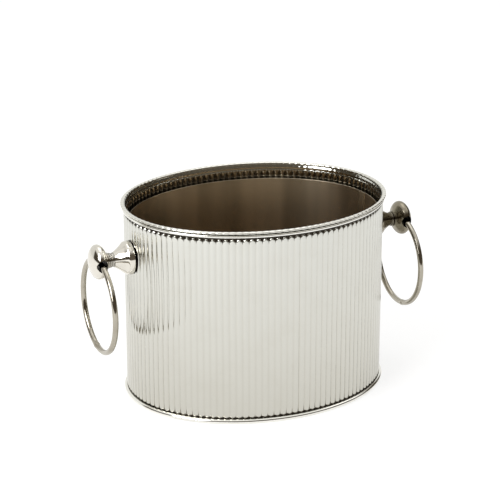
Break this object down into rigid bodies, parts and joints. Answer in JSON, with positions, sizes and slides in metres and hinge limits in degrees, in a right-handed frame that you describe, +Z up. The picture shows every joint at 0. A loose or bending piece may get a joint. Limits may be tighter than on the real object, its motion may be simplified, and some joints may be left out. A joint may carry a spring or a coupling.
{
  "type": "champagne bucket",
  "caption": "Oval reeded metal ice bucket with a plain inner liner, beaded rim and foot, and a loose ring handle hanging from a turned knob at each end.",
  "frame": {"origin": "on the floor under the centre of the oval", "axes": "+X along the oval's long axis towards the right-hand ring, +Y across it towards the back, +Z up"},
  "size_m": [0.3824, 0.2416, 0.216],
  "materials": {
    "shell_silver": "mirror-polished silver plate over pressed sheet",
    "rim_silver": "polished silver plate",
    "base_silver": "silver plate, duller where it is not polished",
    "liner_metal": "softly brushed and warm toned",
    "handle_silver": "polished silver plate with a little tarnish in the corners",
    "screw_steel": "plain zinc-plated steel"
  },
  "bodies": {
    "bucket": {"reeded_shell": "shell_silver", "rim_bead": "rim_silver", "rim_band": "rim_silver", "foot_band": "rim_silver", "base_plate": "base_silver", "liner_wall": "liner_metal", "liner_bottom": "liner_metal", "left_post": "handle_silver", "left_knob": "handle_silver", "left_screw": "screw_steel", "left_washer": "screw_steel", "right_post": "handle_silver", "right_knob": "handle_silver", "right_screw": "screw_steel", "right_washer": "screw_steel"},
    "left_handle": {"left_ring": "handle_silver"},
    "right_handle": {"right_ring": "handle_silver"}
  },
  "joints": [
    {"name": "left_ring_swing", "type": "hinge", "parent": "bucket", "child": "left_handle", "pos_m": [-0.18144, 0, 0.1652], "axis": [0, 1, 0], "range_deg": [-18.5, 216]},
    {"name": "right_ring_swing", "type": "hinge", "parent": "bucket", "child": "right_handle", "pos_m": [0.18144, 0, 0.1652], "axis": [0, -1, 0], "range_deg": [-18.5, 216]}
  ]
}
